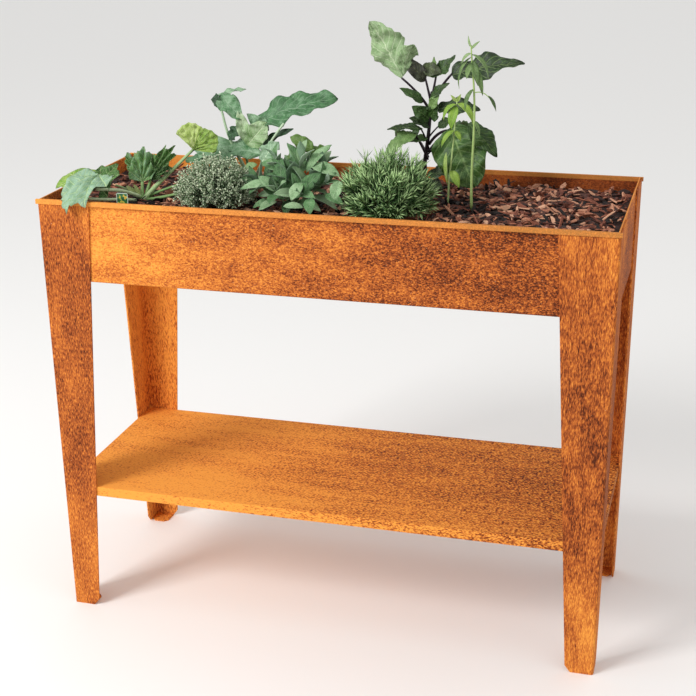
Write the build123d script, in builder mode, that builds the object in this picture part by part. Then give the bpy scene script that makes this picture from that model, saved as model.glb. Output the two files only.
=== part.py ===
"""Raised planter on legs: a weathering-steel trough carried at working height by four tapered angle
legs, with a low shelf between them. The trough is filled with compost and bark mulch, and planted.

Frame: X runs along the front, +Y points to the back and +Z up. The origin is on the floor, at the
centre of the footprint. All sizes are in millimetres.
"""

import os

from build123d import *

# Overall
WIDTH = 1000.0  # over the legs, along X
DEPTH = 400.0  # over the legs, along Y
HEIGHT = 800.0  # floor to rim
LEG_SHEET = 3.0
TRAY_SHEET = 2.0  # trough and shelf

# Legs: an angle folded from sheet, each flange narrowing from the rim to the foot
FLANGE_TOP = 98.0
FRONT_FLANGE_FOOT = 50.0  # flange in the front or rear face
SIDE_FLANGE_FOOT = 45.0  # flange in the end face
LEG_BEND_OUTER = 4.5
LEG_BEND_INNER = 1.5
FOOT_CLIP_WIDE = 9.0
FOOT_CLIP_HIGH = 13.0
FOOT_TAB_DEPTH = 35.0
FOOT_TAB_CLIP = 8.0
RELIEF = 2.0  # gap cut beside the foot tab's bend

# Trough
TROUGH_HEIGHT = 145.0
HEM_HEIGHT = 8.0  # down-turned strip that caps the tops of the legs
HEM_OVERHANG = 2.0  # how far the strip runs past the legs at each end
LEG_TOP_GAP = 0.5
BASE_BEND_OUTER = 3.0
BASE_BEND_INNER = 1.0
DRAIN_RADIUS = 6.0
DRAIN_PITCH_X = 190.0
DRAIN_PITCH_Y = 190.0

# Shelf
SHELF_TOP = 254.0
SHELF_LIP = 18.0
SHELF_CORNER_NOTCH = 5.0

# Filling
FILL_GAP = 1.0  # between the filling and the walls
COMPOST_TOP = 760.0
MULCH_TOP = 781.0

# Weld studs on the legs, with a washer and nut inside the trough or under the shelf
TROUGH_STUD = {"radius": 4.0, "hole": 4.5, "length": 15.0, "washer": 8.0, "washer_t": 1.6,
               "across_flats": 13.0, "nut_t": 6.5}
SHELF_STUD = {"radius": 3.0, "hole": 3.5, "length": 12.0, "washer": 6.0, "washer_t": 1.6,
              "across_flats": 10.0, "nut_t": 5.0}
TROUGH_STUD_HEIGHTS = (680.0, 742.0)
TROUGH_STUD_INSET = 50.0  # from the corner of the leg
SHELF_STUD_INSET = 31.0
SHELF_STUD_HEIGHT = SHELF_TOP - 0.55 * SHELF_LIP
POCKET_GAP = 1.5  # room left in the compost around each nut

# Worked out
LEG_TOP = HEIGHT - TRAY_SHEET - LEG_TOP_GAP
INNER_X = WIDTH / 2 - LEG_SHEET  # inner faces of the legs
INNER_Y = DEPTH / 2 - LEG_SHEET
TROUGH_BOTTOM = HEIGHT - TROUGH_HEIGHT
ROOM_X = INNER_X - TRAY_SHEET  # inner faces of the trough
ROOM_Y = INNER_Y - TRAY_SHEET
CORNERS = {"front_left": (-1, -1), "front_right": (1, -1), "rear_left": (-1, 1), "rear_right": (1, 1)}


def save(piece, name):
    """Labels a finished piece and writes its STEP file."""
    piece.label = name
    export_step(piece, f"parts/{name}.step")


def stud_places(inset, heights):
    """Gives each stud's foot on a leg's inner face, and the way it points, for all four legs."""
    places = []
    for side_x, side_y in CORNERS.values():
        for height in heights:
            across = (side_x * (WIDTH / 2 - inset), side_y * INNER_Y, height)
            places.append(Plane(across, x_dir=(1, 0, 0), z_dir=(0, -side_y, 0)))
            along = (side_x * INNER_X, side_y * (DEPTH / 2 - inset), height)
            places.append(Plane(along, x_dir=(0, 1, 0), z_dir=(-side_x, 0, 0)))
    return places


TROUGH_STUDS = stud_places(TROUGH_STUD_INSET, TROUGH_STUD_HEIGHTS)
SHELF_STUDS = stud_places(SHELF_STUD_INSET, (SHELF_STUD_HEIGHT,))


# ---------------------------------------------------------------- legs
def flange_outline(edge, side, foot):
    """Draws one flange, from its bent edge inwards, with the clipped corner at the foot."""
    inner_foot = edge - foot
    slope = (FLANGE_TOP - foot) / HEIGHT
    Polyline(
        (side * edge, 0),
        (side * edge, LEG_TOP),
        (side * (edge - foot - slope * LEG_TOP), LEG_TOP),
        (side * (inner_foot - slope * FOOT_CLIP_HIGH), FOOT_CLIP_HIGH),
        (side * (inner_foot + FOOT_CLIP_WIDE), 0),
        close=True,
    )


def make_leg(name, side_x, side_y):
    """Folds one leg: a flange in the long face, a flange in the end face and a foot tab."""
    with BuildPart() as leg:
        with BuildSketch(Plane.XZ.offset(-side_y * DEPTH / 2)):
            with BuildLine():
                flange_outline(WIDTH / 2, side_x, FRONT_FLANGE_FOOT)
            make_face()
        extrude(amount=side_y * LEG_SHEET)
        with BuildSketch(Plane.YZ.offset(side_x * WIDTH / 2)):
            with BuildLine():
                flange_outline(DEPTH / 2, side_y, SIDE_FLANGE_FOOT)
            make_face()
        extrude(amount=-side_x * LEG_SHEET)

        bends = leg.edges().filter_by(Axis.Z).sort_by_distance(
            (side_x * WIDTH / 2, side_y * DEPTH / 2, LEG_TOP / 2)
        )
        fillet(bends[0], radius=LEG_BEND_OUTER)
        inner = leg.edges().filter_by(Axis.Z).sort_by_distance(
            (side_x * INNER_X, side_y * INNER_Y, LEG_TOP / 2)
        )
        fillet(inner[0], radius=LEG_BEND_INNER)

        tab_outer = INNER_X - RELIEF
        tab_inner = WIDTH / 2 - FRONT_FLANGE_FOOT + FOOT_CLIP_WIDE
        tab_end = INNER_Y - FOOT_TAB_DEPTH
        with BuildSketch(Plane.XY):
            with BuildLine():
                Polyline(
                    (side_x * tab_outer, side_y * (INNER_Y + LEG_SHEET / 2)),
                    (side_x * tab_outer, side_y * (tab_end + FOOT_TAB_CLIP)),
                    (side_x * (tab_outer - FOOT_TAB_CLIP), side_y * tab_end),
                    (side_x * (tab_inner + FOOT_TAB_CLIP), side_y * tab_end),
                    (side_x * tab_inner, side_y * (tab_end + FOOT_TAB_CLIP)),
                    (side_x * tab_inner, side_y * (INNER_Y + LEG_SHEET / 2)),
                    close=True,
                )
            make_face()
        extrude(amount=LEG_SHEET)
    save(leg.part, name)


os.makedirs("parts", exist_ok=True)
for corner, (side_x, side_y) in CORNERS.items():
    make_leg(f"leg_{corner}", side_x, side_y)


# ---------------------------------------------------------------- trough
def drill(places, radius):
    """Drills the walls that the studs pass through."""
    for place in places:
        with Locations(place):
            Hole(radius, depth=LEG_SHEET + TRAY_SHEET)


with BuildPart() as trough_body:
    with BuildSketch(Plane.YZ):
        with Locations((0, TROUGH_BOTTOM + TROUGH_HEIGHT / 2)):
            Rectangle(2 * INNER_Y, TROUGH_HEIGHT)
        with Locations((0, TROUGH_BOTTOM + TRAY_SHEET + TROUGH_HEIGHT / 2)):
            Rectangle(2 * ROOM_Y, TROUGH_HEIGHT, mode=Mode.SUBTRACT)
    extrude(amount=ROOM_X, both=True)
    long_edges = trough_body.edges().filter_by(Axis.X)
    outer_bends = long_edges.filter_by_position(Axis.Z, TROUGH_BOTTOM, TROUGH_BOTTOM)
    fillet(outer_bends, radius=BASE_BEND_OUTER)
    long_edges = trough_body.edges().filter_by(Axis.X)
    inside_z = TROUGH_BOTTOM + TRAY_SHEET
    inner_bends = [
        edge
        for edge in long_edges.filter_by_position(Axis.Z, inside_z, inside_z)
        if abs(abs(edge.center().Y) - ROOM_Y) < 0.1
    ]
    fillet(inner_bends, radius=BASE_BEND_INNER)

    # Each long wall turns outwards over the legs and down again, as a hem
    for side_y in (-1, 1):
        with BuildSketch(Plane.YZ):
            with BuildLine():
                hem_face = INNER_Y + LEG_SHEET + TRAY_SHEET
                Polyline(
                    (side_y * INNER_Y, HEIGHT),
                    (side_y * hem_face, HEIGHT),
                    (side_y * hem_face, HEIGHT - HEM_HEIGHT),
                    (side_y * (hem_face - TRAY_SHEET), HEIGHT - HEM_HEIGHT),
                    (side_y * (hem_face - TRAY_SHEET), HEIGHT - TRAY_SHEET),
                    (side_y * INNER_Y, HEIGHT - TRAY_SHEET),
                    close=True,
                )
            make_face()
        extrude(amount=WIDTH / 2 + HEM_OVERHANG, both=True)
    crowns = trough_body.edges().filter_by(Axis.X).group_by(Axis.Z)[-1]
    fillet([crowns.sort_by(Axis.Y)[0], crowns.sort_by(Axis.Y)[-1]], radius=TRAY_SHEET - 0.3)

    drill([place for place in TROUGH_STUDS if abs(place.z_dir.Y) > 0.5], TROUGH_STUD["hole"])
    with Locations((0, 0, TROUGH_BOTTOM + TRAY_SHEET)):
        with GridLocations(DRAIN_PITCH_X, DRAIN_PITCH_Y, 5, 2):
            Hole(DRAIN_RADIUS, depth=TRAY_SHEET)
save(trough_body.part, "trough_body")

for name, side_x in (("trough_end_left", -1), ("trough_end_right", 1)):
    with BuildPart() as trough_end:
        with Locations((side_x * (ROOM_X + TRAY_SHEET / 2), 0, TROUGH_BOTTOM + TROUGH_HEIGHT / 2)):
            Box(TRAY_SHEET, 2 * INNER_Y, TROUGH_HEIGHT)
        outer_side = trough_end.edges().filter_by(Axis.Z).group_by(Axis.X)[-1 if side_x > 0 else 0]
        chamfer(outer_side, length=LEG_BEND_INNER)
        drill([place for place in TROUGH_STUDS if place.z_dir.X * side_x < -0.5], TROUGH_STUD["hole"])
    save(trough_end.part, name)

# ---------------------------------------------------------------- shelf
with BuildPart() as shelf_tray:
    with BuildSketch(Plane.XY.offset(SHELF_TOP - SHELF_LIP)):
        Rectangle(2 * INNER_X, 2 * INNER_Y)
        with GridLocations(2 * INNER_X, 2 * INNER_Y, 2, 2):
            Rectangle(2 * SHELF_CORNER_NOTCH, 2 * SHELF_CORNER_NOTCH, mode=Mode.SUBTRACT)
    extrude(amount=SHELF_LIP)
    rims = shelf_tray.faces().sort_by(Axis.Z)[-1].edges()
    fillet(
        [edge for edge in rims if edge.length > 8 * SHELF_CORNER_NOTCH],
        radius=TRAY_SHEET - 0.3,
    )
    with BuildSketch(Plane.XY.offset(SHELF_TOP - SHELF_LIP)):
        Rectangle(2 * (INNER_X - TRAY_SHEET), 2 * (INNER_Y - SHELF_CORNER_NOTCH))
        Rectangle(2 * (INNER_X - SHELF_CORNER_NOTCH), 2 * (INNER_Y - TRAY_SHEET))
    extrude(amount=SHELF_LIP - TRAY_SHEET, mode=Mode.SUBTRACT)
    drill(SHELF_STUDS, SHELF_STUD["hole"])
save(shelf_tray.part, "shelf_tray")


# ---------------------------------------------------------------- studs, washers and nuts
def make_studs(name, places, size):
    """Makes the weld studs, which stand on the legs' inner faces."""
    with BuildPart() as studs:
        for place in places:
            with BuildSketch(place):
                Circle(size["radius"])
            extrude(amount=size["length"])
    save(studs.part, name)


def make_washers(name, places, size):
    """Makes the washers, which lie on the inside of the walls."""
    with BuildPart() as washers:
        for place in places:
            with BuildSketch(place.offset(TRAY_SHEET)):
                Circle(size["washer"])
                Circle(size["hole"], mode=Mode.SUBTRACT)
            extrude(amount=size["washer_t"])
    save(washers.part, name)


def make_nuts(name, places, size):
    """Makes the hexagon nuts, threaded on to the studs: the bore is the stud's own radius."""
    with BuildPart() as nuts:
        for place in places:
            with BuildSketch(place.offset(TRAY_SHEET + size["washer_t"])):
                RegularPolygon(size["across_flats"] / 2, 6, major_radius=False)
                Circle(size["radius"], mode=Mode.SUBTRACT)
            extrude(amount=size["nut_t"])
    save(nuts.part, name)


for group, places, size in (("trough", TROUGH_STUDS, TROUGH_STUD), ("shelf", SHELF_STUDS, SHELF_STUD)):
    make_studs(f"{group}_weld_studs", places, size)
    make_washers(f"{group}_washers", places, size)
    make_nuts(f"{group}_nuts", places, size)

# ---------------------------------------------------------------- filling
with BuildPart() as compost:
    with BuildSketch(Plane.XY.offset(TROUGH_BOTTOM + TRAY_SHEET)):
        Rectangle(2 * (ROOM_X - FILL_GAP), 2 * (ROOM_Y - FILL_GAP))
    extrude(amount=COMPOST_TOP - TROUGH_BOTTOM - TRAY_SHEET)
    chamfer(compost.faces().sort_by(Axis.Z)[0].edges(), length=BASE_BEND_INNER)
    for place in TROUGH_STUDS:
        with BuildSketch(place):
            Circle(TROUGH_STUD["washer"] + POCKET_GAP)
        extrude(amount=TROUGH_STUD["length"] + POCKET_GAP, mode=Mode.SUBTRACT)
save(compost.part, "compost")

with BuildPart() as bark_mulch:
    with BuildSketch(Plane.XY.offset(COMPOST_TOP)):
        Rectangle(2 * (ROOM_X - FILL_GAP), 2 * (ROOM_Y - FILL_GAP))
    extrude(amount=MULCH_TOP - COMPOST_TOP)
save(bark_mulch.part, "bark_mulch")


# ---------------------------------------------------------------- plants
def make_plant(name, lobes):
    """Makes a plant's outer form from lobes, each a stack of ellipses (x, y, z, half_x, half_y)."""
    with BuildPart() as plant:
        for lobe in lobes:
            for x, y, z, half_x, half_y in lobe:
                with BuildSketch(Plane((x, y, z))):
                    Ellipse(half_x, half_y)
            loft(ruled=True)
    save(plant.part, name)


make_plant("squash_left", [
    [(-365, -84, MULCH_TOP, 40, 35), (-375, -84, 800, 88, 84), (-378, -78, 845, 86, 90),
     (-378, -70, 866, 48, 60)],
    [(-352, -78, 800, 5, 5), (-290, -8, 876, 5, 5)],
    [(-290, -8, 868, 8, 8), (-270, -4, 880, 38, 12), (-270, -4, 903, 30, 10)],
])
make_plant("squash_centre", [
    [(-205, 92, MULCH_TOP, 30, 28), (-190, 92, 830, 95, 66), (-175, 92, 900, 125, 74),
     (-165, 92, 955, 80, 40)],
])
make_plant("thyme_bush", [
    [(-210, -88, MULCH_TOP, 45, 42), (-210, -88, 802, 61, 58), (-210, -88, 838, 58, 54),
     (-210, -88, 862, 32, 30)],
])
make_plant("sage_bush", [
    [(-70, -72, MULCH_TOP, 35, 32), (-66, -74, 812, 80, 76), (-66, -70, 860, 78, 70),
     (-66, -66, 898, 42, 40)],
])
make_plant("rosemary_bush", [
    [(102, -98, MULCH_TOP, 42, 40), (102, -98, 805, 66, 62), (102, -98, 850, 64, 60),
     (102, -98, 888, 34, 32)],
])
make_plant("aubergine", [
    [(112, 112, MULCH_TOP, 8, 8), (114, 112, 812, 9, 9), (150, 110, 860, 90, 60),
     (155, 110, 930, 112, 72), (168, 110, 1020, 138, 70), (120, 108, 1088, 88, 42)],
])
make_plant("pepper_seedlings", [
    [(230, -18, MULCH_TOP, 8, 8), (230, -18, 840, 24, 22), (230, -18, 980, 34, 26),
     (224, -18, 1056, 18, 14)],
    [(182, 14, MULCH_TOP, 6, 6), (184, 14, 890, 14, 14), (186, 14, 962, 9, 9)],
])

LABEL_WIDTH = 21
LABEL_HEIGHT = 33
LABEL_THICKNESS = 1
with BuildPart() as plant_label:
    with BuildSketch(Plane((-347, -180, MULCH_TOP), x_dir=(1, 0, 0), z_dir=(0, -1, 0))):
        with Locations((0, LABEL_HEIGHT / 2)):
            Rectangle(LABEL_WIDTH, LABEL_HEIGHT)
    extrude(amount=LABEL_THICKNESS)
    fillet(plant_label.edges().filter_by(Axis.Y).group_by(Axis.Z)[-1], radius=2.5)
save(plant_label.part, "plant_label")
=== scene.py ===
import math
import random

import bmesh
import bpy
from mathutils import Euler, Matrix, Vector, noise


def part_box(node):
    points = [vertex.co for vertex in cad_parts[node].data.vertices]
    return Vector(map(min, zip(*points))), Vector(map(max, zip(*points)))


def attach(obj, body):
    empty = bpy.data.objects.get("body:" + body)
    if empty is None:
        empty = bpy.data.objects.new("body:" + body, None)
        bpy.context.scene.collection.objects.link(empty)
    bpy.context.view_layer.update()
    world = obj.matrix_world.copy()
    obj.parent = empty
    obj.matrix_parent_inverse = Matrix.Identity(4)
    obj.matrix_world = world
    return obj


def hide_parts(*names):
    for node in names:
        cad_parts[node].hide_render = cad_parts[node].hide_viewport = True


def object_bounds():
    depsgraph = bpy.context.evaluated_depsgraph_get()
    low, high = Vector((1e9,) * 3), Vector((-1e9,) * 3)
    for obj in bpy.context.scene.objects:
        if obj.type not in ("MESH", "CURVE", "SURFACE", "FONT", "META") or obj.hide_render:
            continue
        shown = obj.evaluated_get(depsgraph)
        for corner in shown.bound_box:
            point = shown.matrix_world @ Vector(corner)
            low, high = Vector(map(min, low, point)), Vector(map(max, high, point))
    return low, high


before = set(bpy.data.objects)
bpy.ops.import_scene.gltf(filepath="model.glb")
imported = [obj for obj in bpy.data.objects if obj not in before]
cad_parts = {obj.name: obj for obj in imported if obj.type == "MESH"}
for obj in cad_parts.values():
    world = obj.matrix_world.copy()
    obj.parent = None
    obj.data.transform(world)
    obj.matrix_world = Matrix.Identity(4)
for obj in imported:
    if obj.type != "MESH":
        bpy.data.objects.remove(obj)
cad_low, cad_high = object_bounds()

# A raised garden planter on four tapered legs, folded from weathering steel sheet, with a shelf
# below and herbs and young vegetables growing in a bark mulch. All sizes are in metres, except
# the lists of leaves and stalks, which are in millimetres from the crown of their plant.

MM = 0.001
BODY = "root"

RIM_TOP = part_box("trough_body")[1].z
# The trough's walls start a little above this height, and its rear wall is behind this line.
TROUGH_FOOT = 0.65
REAR_WALL = 0.19
MULCH_LOW, MULCH_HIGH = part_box("bark_mulch")
SOIL = MULCH_HIGH.z
SHELF_LOW, SHELF_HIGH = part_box("shelf_tray")

# Where each plant comes out of the mulch, in millimetres from the middle of the planter.
CROWNS = {
    "squash_left": (-365, -84), "squash_centre": (-205, 92), "thyme": (-210, -88), "sage": (-70, -74),
    "rosemary": (102, -98), "aubergine": (112, 112), "peppers": (230, -18), "small_pepper": (182, 14),
}


# ---------------------------------------------------------------- camera

# The focal length and the optical centre, from the top left corner, are on the scale of the
# image's side; the angles are in radians.
IMAGE_SIDE = 696
FOCAL_LENGTH = 1367.4
OPTICAL_CENTRE = (337.2, 398.1)
SENSOR = 36.0
CAMERA_PLACE = Vector((0.6554, -2.2913, 1.3550))
YAW, PITCH, ROLL = -0.2870, 0.3813, -0.0149


def make_camera():
    """The camera, turned by its yaw, pitch and roll."""
    forward = Vector((math.sin(YAW) * math.cos(PITCH), math.cos(YAW) * math.cos(PITCH), -math.sin(PITCH)))
    level_right = Vector((math.cos(YAW), -math.sin(YAW), 0))
    level_up = level_right.cross(forward)
    right = level_right * math.cos(ROLL) + level_up * math.sin(ROLL)
    up = level_up * math.cos(ROLL) - level_right * math.sin(ROLL)
    lens = bpy.data.cameras.new("camera")
    lens.sensor_width = SENSOR
    lens.lens = FOCAL_LENGTH * SENSOR / IMAGE_SIDE
    lens.shift_x = (IMAGE_SIDE / 2 - OPTICAL_CENTRE[0]) / IMAGE_SIDE
    lens.shift_y = (OPTICAL_CENTRE[1] - IMAGE_SIDE / 2) / IMAGE_SIDE
    camera = bpy.data.objects.new("camera", lens)
    turn = Matrix((right, up, -forward)).transposed().to_4x4()
    camera.matrix_world = Matrix.Translation(CAMERA_PLACE) @ turn
    bpy.context.scene.collection.objects.link(camera)
    bpy.context.scene.camera = camera


make_camera()


# ---------------------------------------------------------------- finishes

def colour(code):
    """An sRGB hex colour as the linear colour that a shader takes."""
    channels = [int(code[place:place + 2], 16) / 255 for place in (1, 3, 5)]
    linear = [c / 12.92 if c <= 0.04045 else ((c + 0.055) / 1.055) ** 2.4 for c in channels]
    return (*linear, 1.0)


def connect(tree, node, inputs):
    """Fills a node's inputs, each with a number or a colour to set, a socket to link, or a node,
    which is linked by its first output."""
    for name, value in inputs.items():
        if isinstance(value, bpy.types.Node):
            value = value.outputs[0]
        if isinstance(value, bpy.types.NodeSocket):
            tree.links.new(value, node.inputs[name])
        else:
            node.inputs[name].default_value = value


def add(tree, kind, inputs=None, stops=None, **settings):
    """Adds a node with its settings, its ramp's stops and its inputs."""
    node = tree.nodes.new(kind)
    for name, value in settings.items():
        setattr(node, name, value)
    if stops:
        ramp = node.color_ramp
        while len(ramp.elements) < len(stops):
            ramp.elements.new(1.0)
        for element, (position, shade) in zip(ramp.elements, stops):
            element.position = position
            element.color = colour(shade) if isinstance(shade, str) else (shade, shade, shade, 1.0)
    connect(tree, node, inputs or {})
    return node


def start_finish(name, roughness=0.5, metallic=0.0, specular=0.5):
    """A material with one principled shader, and the numbers that are the same all over it."""
    material = bpy.data.materials.new(name)
    material.use_nodes = True
    tree = material.node_tree
    shader = tree.nodes["Principled BSDF"]
    connect(tree, shader, {
        "Roughness": roughness, "Metallic": metallic, "Specular IOR Level": specular})
    place = add(tree, "ShaderNodeTexCoord").outputs["Object"]
    return material, tree, shader, place


def grains(tree, place, size, detail=2.0, roughness=0.5, swing=None):
    """A cloudy value whose grains have this size in millimetres on each axis. It runs from 0 to 1 or,
    with a swing, from minus that much to plus that much."""
    scale = tuple(1 / (MM * side) for side in size)
    mapped = add(tree, "ShaderNodeMapping", {"Vector": place, "Scale": scale})
    cloud = add(tree, "ShaderNodeTexNoise", {
        "Vector": mapped, "Scale": 1.0, "Detail": detail, "Roughness": roughness})
    if swing is None:
        return cloud
    return add(tree, "ShaderNodeMapRange", {"Value": cloud, "To Min": -swing, "To Max": swing})


def weathering_steel(name, grain, patch, ages, newness=0.0, rim_highlight_from=None, sheltered_from=None,
                     flecks=0.5, contrast=1.0, seed=0.0):
    """Weathering steel sheet left outdoors until it rusted: a dry, powdery orange skin on new rust,
    and dark brown specks that crowd together where the rust is older. The grains are drawn out
    along the way the sheet was rolled. ages gives the age of the rust, from 0 to 1, along an axis:
    (axis, where it starts, where it ends, stops), and newness is taken off it everywhere. Above
    rim_highlight_from the rust is painted a brighter orange, a painted highlight where the light
    catches the rim; behind sheltered_from it is smoother."""
    material, tree, shader, spot = start_finish(name, specular=0.15)
    place = add(tree, "ShaderNodeVectorMath", {0: spot, 1: (seed, seed * 0.7, seed * 1.3)},
                operation="ADD")
    axes = add(tree, "ShaderNodeSeparateXYZ", {0: spot}).outputs
    age = grains(tree, place, patch, detail=3.0, roughness=0.55, swing=0.4)
    for axis, start, end, stops in ages:
        along = add(tree, "ShaderNodeMapRange", {"Value": axes[axis], "From Min": start, "From Max": end})
        level = add(tree, "ShaderNodeValToRGB", {"Fac": along}, stops=stops)
        age = add(tree, "ShaderNodeMath", {0: age, 1: level}, operation="ADD")
    age = add(tree, "ShaderNodeMath", {0: age, 1: newness}, operation="SUBTRACT")
    depth = add(tree, "ShaderNodeMapRange", {
        "Value": age, "To Min": 0.8 * contrast, "To Max": 1.7 * contrast})
    if sheltered_from is not None:
        calm = add(tree, "ShaderNodeMapRange", {
            "Value": axes["Y"], "From Min": sheltered_from - MM, "From Max": sheltered_from,
            "To Min": 1.0, "To Max": 0.4})
        depth = add(tree, "ShaderNodeMath", {0: depth, 1: calm}, operation="MULTIPLY")
    streaks = grains(tree, place, tuple(2.6 * side for side in grain), swing=0.25)
    specks = grains(tree, place, grain, roughness=0.6, swing=0.75)
    fine = add(tree, "ShaderNodeMath", {0: streaks, 1: specks}, operation="ADD")
    rust = add(tree, "ShaderNodeMath", {0: fine, 1: depth, 2: age}, operation="MULTIPLY_ADD")
    skin = add(tree, "ShaderNodeValToRGB", {"Fac": rust}, stops=(
        (0.0, "#ED9E43"), (0.2, "#DC8639"), (0.4, "#C36D2D"), (0.6, "#A35324"),
        (0.8, "#7C3A18"), (1.0, "#4C210D")))
    bare = grains(tree, place, (2.2, 2.2, 2.2), detail=1.0)
    fleck = add(tree, "ShaderNodeMapRange", {
        "Value": bare, "From Min": 0.72, "From Max": 0.80, "To Max": flecks})
    skin = add(tree, "ShaderNodeMix", {"Factor": fleck, "A": skin, "B": colour("#E8BE94")},
               data_type="RGBA").outputs["Result"]
    # Painted highlight: above this height the rust is mixed towards a bright orange, for the light that
    # catches the rim.
    if rim_highlight_from is not None:
        high = add(tree, "ShaderNodeMapRange", {
            "Value": axes["Z"], "From Min": rim_highlight_from - MM, "From Max": rim_highlight_from, "To Max": 0.45})
        skin = add(tree, "ShaderNodeMix", {"Factor": high, "A": skin, "B": colour("#E89E4C")},
                   data_type="RGBA").outputs["Result"]
    dry = add(tree, "ShaderNodeMapRange", {"Value": rust, "To Min": 0.92, "To Max": 0.7})
    relief = add(tree, "ShaderNodeBump", {"Height": fine, "Strength": 0.6, "Distance": 0.35 * MM})
    connect(tree, shader, {"Base Color": skin, "Roughness": dry, "Normal": relief})
    return material


def zinc_plate():
    """Zinc plated steel, barrel plated: a bright, slightly blue grey with a soft, cloudy shine."""
    material, tree, shader, place = start_finish("zinc_plated_steel", metallic=1.0)
    dull = grains(tree, place, (3, 3, 3), detail=3.0)
    shade = add(tree, "ShaderNodeValToRGB", {"Fac": dull}, stops=(
        (0.3, "#AEB2B2"), (0.7, "#D3D6D4")))
    rough = add(tree, "ShaderNodeMapRange", {"Value": dull, "To Min": 0.28, "To Max": 0.5})
    connect(tree, shader, {"Base Color": shade, "Roughness": rough})
    return material


def potting_compost():
    """Potting compost, sieved peat and leaf mould: nearly black, dull, with crumbs of 2 to 6 mm."""
    material, tree, shader, place = start_finish("potting_compost", roughness=0.95)
    crumbs = grains(tree, place, (4, 4, 4), detail=4.0, roughness=0.65)
    shade = add(tree, "ShaderNodeValToRGB", {"Fac": crumbs}, stops=(
        (0.3, "#1C140F"), (0.55, "#3A2A20"), (0.75, "#5B4536")))
    relief = add(tree, "ShaderNodeBump", {"Height": crumbs, "Strength": 1.0, "Distance": 3 * MM})
    connect(tree, shader, {"Base Color": shade, "Normal": relief})
    return material


def bark():
    """Shredded pine bark, sun dried: red brown to grey chips with fibres 1 mm apart along them.
    The tone of a chip gives its weathering, and near each plant's foot it is lowered as painted shade."""
    material, tree, shader, place = start_finish("pine_bark", roughness=0.88)
    tone = add(tree, "ShaderNodeAttribute", attribute_name="tone").outputs["Fac"]
    fibres = grains(tree, place, (3.0, 1.2, 1.2), detail=3.0, roughness=0.6, swing=0.42)
    level = add(tree, "ShaderNodeMath", {0: tone, 1: fibres}, operation="ADD")
    shade = add(tree, "ShaderNodeValToRGB", {"Fac": level}, stops=(
        (0.0, "#100A08"), (0.25, "#36201A"), (0.5, "#6E3B2B"), (0.72, "#9C5F45"), (1.0, "#D2A282")))
    relief = add(tree, "ShaderNodeBump", {"Height": fibres, "Strength": 0.8, "Distance": 0.8 * MM})
    connect(tree, shader, {"Base Color": shade, "Normal": relief})
    return material


# A feathered leaf's pairs of side veins, and how many pairs' distance each runs on towards the tip.
VEIN_PAIRS = 8.0
VEIN_SLANT = 2.4


def veins(tree, pattern):
    """How strongly a vein shows at a place on a leaf, from 0 to 1. The leaf's own map runs from the
    stalk to the tip in x and from one margin to the other in y. Feathered veins leave one midrib in
    pairs; fanned veins spread from the stalk, one to each of five lobes, and branch."""
    leaf_map = add(tree, "ShaderNodeTexCoord").outputs["UV"]
    along, across, _ = add(tree, "ShaderNodeSeparateXYZ", {0: leaf_map}).outputs
    if pattern == "feathered":
        centred = add(tree, "ShaderNodeMapRange", {"Value": across, "To Min": -1.0, "To Max": 1.0})
        off_rib = add(tree, "ShaderNodeMath", {0: centred}, operation="ABSOLUTE")
        rib_width, pairs, slant = 0.07, VEIN_PAIRS, VEIN_SLANT
    else:
        lobes = add(tree, "ShaderNodeMath", {0: across, 1: 5.0}, operation="MULTIPLY")
        to_gap = add(tree, "ShaderNodeMath", {0: lobes, 1: 0.5}, operation="PINGPONG")
        to_rib = add(tree, "ShaderNodeMath", {0: 0.5, 1: to_gap}, operation="SUBTRACT")
        off_rib = add(tree, "ShaderNodeMath", {0: to_rib, 1: along}, operation="MULTIPLY")
        rib_width, pairs, slant = 0.04, 7.0, 6.0
    rib = add(tree, "ShaderNodeMapRange", {
        "Value": off_rib, "From Min": 0.0, "From Max": rib_width, "To Min": 1.0, "To Max": 0.0},
        interpolation_type="SMOOTHSTEP")
    fall = add(tree, "ShaderNodeMath", {0: off_rib, 1: slant}, operation="MULTIPLY")
    rise = add(tree, "ShaderNodeMath", {0: along, 1: pairs}, operation="MULTIPLY")
    step = add(tree, "ShaderNodeMath", {0: rise, 1: fall}, operation="SUBTRACT")
    off_branch = add(tree, "ShaderNodeMath", {0: step, 1: 0.5}, operation="PINGPONG")
    branch = add(tree, "ShaderNodeMapRange", {
        "Value": off_branch, "From Min": 0.0, "From Max": 0.14, "To Min": 0.7, "To Max": 0.0},
        interpolation_type="SMOOTHSTEP")
    return add(tree, "ShaderNodeMath", {0: rib, 1: branch}, operation="MAXIMUM")


def leaf_skin(name, pattern, dark, middle, pale, vein, vein_strength, roughness):
    """The skin of a leaf: a waxy, slightly uneven green from a dark to a pale shade, by the tone of
    the leaf, with paler veins sunk between puckered skin."""
    material, tree, shader, place = start_finish(name, roughness=roughness, specular=0.45)
    tone = add(tree, "ShaderNodeAttribute", attribute_name="tone").outputs["Fac"]
    patches = grains(tree, place, (12, 12, 12), detail=3.0, swing=0.45)
    cells = grains(tree, place, (2.2, 2.2, 2.2), detail=2.0, swing=0.3)
    patchy = add(tree, "ShaderNodeMath", {0: tone, 1: patches}, operation="ADD")
    uneven = add(tree, "ShaderNodeMath", {0: patchy, 1: cells}, operation="ADD")
    green = add(tree, "ShaderNodeValToRGB", {"Fac": uneven}, stops=(
        (0.0, dark), (0.5, middle), (1.0, pale)))
    vein_mask = veins(tree, pattern)
    shown = add(tree, "ShaderNodeMath", {0: vein_mask, 1: vein_strength}, operation="MULTIPLY")
    skin = add(tree, "ShaderNodeMix", {"Factor": shown, "A": green, "B": colour(vein)},
               data_type="RGBA").outputs["Result"]
    height = add(tree, "ShaderNodeMath", {0: cells, 1: vein_mask}, operation="SUBTRACT")
    relief = add(tree, "ShaderNodeBump", {"Height": height, "Strength": 0.8, "Distance": 1.0 * MM})
    connect(tree, shader, {"Base Color": skin, "Normal": relief})
    return material


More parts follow.
